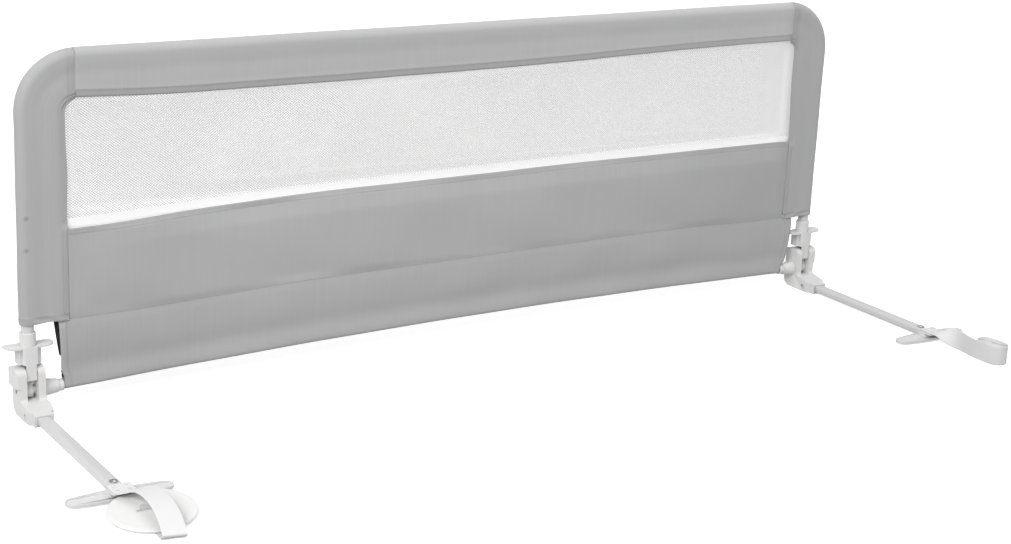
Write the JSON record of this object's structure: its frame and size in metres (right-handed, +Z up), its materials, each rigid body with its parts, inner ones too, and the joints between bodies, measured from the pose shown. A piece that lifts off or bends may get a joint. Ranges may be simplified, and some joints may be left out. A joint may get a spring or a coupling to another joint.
{
  "type": "folding bed guard rail",
  "caption": "Long padded-cloth bed guard rail with a mesh window on a bent steel frame; it folds down on hinge brackets with sprung lock collars, arms under the mattress and a webbing tie.",
  "frame": {"origin": "centre of the bounding box, at floor level under the brackets", "axes": "+Z up; X along the rail; the arms run towards -Y, under the mattress; the rail folds down towards +Y"},
  "size_m": [1.631, 0.519, 0.5335],
  "materials": {
    "white_plastic": "moulded white plastic, semi-matt",
    "white_steel": "white powder coat, semi-gloss",
    "zinc_steel": "zinc-plated steel",
    "grey_cloth": "plain woven polyester, mid grey",
    "pale_grey_cloth": "plain woven polyester, mid grey",
    "white_mesh": "knitted white net",
    "black_hook_tape": "black hook-and-loop tape",
    "white_webbing": "white flat webbing"
  },
  "bodies": {
    "base": {"left_hinge_bracket": "white_plastic", "right_hinge_bracket": "white_plastic", "left_pivot_bolt": "zinc_steel", "right_pivot_bolt": "zinc_steel", "left_pivot_nut": "zinc_steel", "right_pivot_nut": "zinc_steel", "left_pivot_spacer": "white_plastic", "right_pivot_spacer": "white_plastic", "left_crossbar_socket": "white_plastic", "right_crossbar_socket": "white_plastic", "left_arm_tube": "white_steel", "right_arm_tube": "white_steel", "left_arm_screw": "zinc_steel", "right_arm_screw": "zinc_steel", "left_foot": "white_plastic", "right_foot": "white_plastic", "left_foot_screw": "zinc_steel", "right_foot_screw": "zinc_steel", "left_strap_rivet_1": "white_plastic", "right_strap_rivet_1": "white_plastic", "left_strap_rivet_2": "white_plastic", "right_strap_rivet_2": "white_plastic", "left_strap_rivet_3": "white_plastic", "right_strap_rivet_3": "white_plastic", "left_strap_rivet_4": "white_plastic", "right_strap_rivet_4": "white_plastic", "left_strap": "white_webbing", "right_strap": "white_webbing", "anchor_disc": "white_plastic"},
    "rail": {"left_hinge_post": "white_plastic", "right_hinge_post": "white_plastic", "left_lock_spring": "zinc_steel", "right_lock_spring": "zinc_steel", "left_leg_tube": "white_steel", "right_leg_tube": "white_steel", "left_corner_tube": "white_steel", "right_corner_tube": "white_steel", "left_leg_connector": "zinc_steel", "right_leg_connector": "zinc_steel", "left_crossbar_cap": "white_plastic", "right_crossbar_cap": "white_plastic", "left_side_band": "grey_cloth", "right_side_band": "grey_cloth", "top_tube": "white_steel", "crossbar": "white_steel", "top_band": "pale_grey_cloth", "front_panel": "grey_cloth", "back_panel": "grey_cloth", "front_mesh": "white_mesh", "back_mesh": "white_mesh", "window_tape": "white_mesh", "lower_flap": "grey_cloth", "closure_tape": "black_hook_tape"},
    "left_collar": {"left_lock_collar": "white_plastic"},
    "left_lower_button": {"left_lower_button": "zinc_steel"},
    "left_upper_button": {"left_upper_button": "zinc_steel"},
    "right_collar": {"right_lock_collar": "white_plastic"},
    "right_lower_button": {"right_lower_button": "zinc_steel"},
    "right_upper_button": {"right_upper_button": "zinc_steel"}
  },
  "joints": [
    {"name": "rail_swing", "type": "hinge", "parent": "base", "child": "rail", "pos_m": [0, 0.2415, 0.0355], "axis": [-1, 0, 0], "range_deg": [0, 90]},
    {"name": "left_collar_lift", "type": "slide", "parent": "rail", "child": "left_collar", "axis": [0, 0, 1], "range_m": [0, 0.012], "stiffness_N_per_m": 300, "springref_m": -0.01, "deforming": ["left_lock_spring"]},
    {"name": "left_lower_button_press", "type": "slide", "parent": "rail", "child": "left_lower_button", "axis": [0, 1, 0], "range_m": [0, 0.0024], "stiffness_N_per_m": 1500, "springref_m": -0.001},
    {"name": "left_upper_button_press", "type": "slide", "parent": "rail", "child": "left_upper_button", "axis": [0, 1, 0], "range_m": [0, 0.0024], "stiffness_N_per_m": 1500, "springref_m": -0.001},
    {"name": "right_collar_lift", "type": "slide", "parent": "rail", "child": "right_collar", "axis": [0, 0, 1], "range_m": [0, 0.012], "stiffness_N_per_m": 300, "springref_m": -0.01, "deforming": ["right_lock_spring"]},
    {"name": "right_lower_button_press", "type": "slide", "parent": "rail", "child": "right_lower_button", "axis": [0, 1, 0], "range_m": [0, 0.0024], "stiffness_N_per_m": 1500, "springref_m": -0.001},
    {"name": "right_upper_button_press", "type": "slide", "parent": "rail", "child": "right_upper_button", "axis": [0, 1, 0], "range_m": [0, 0.0024], "stiffness_N_per_m": 1500, "springref_m": -0.001}
  ]
}
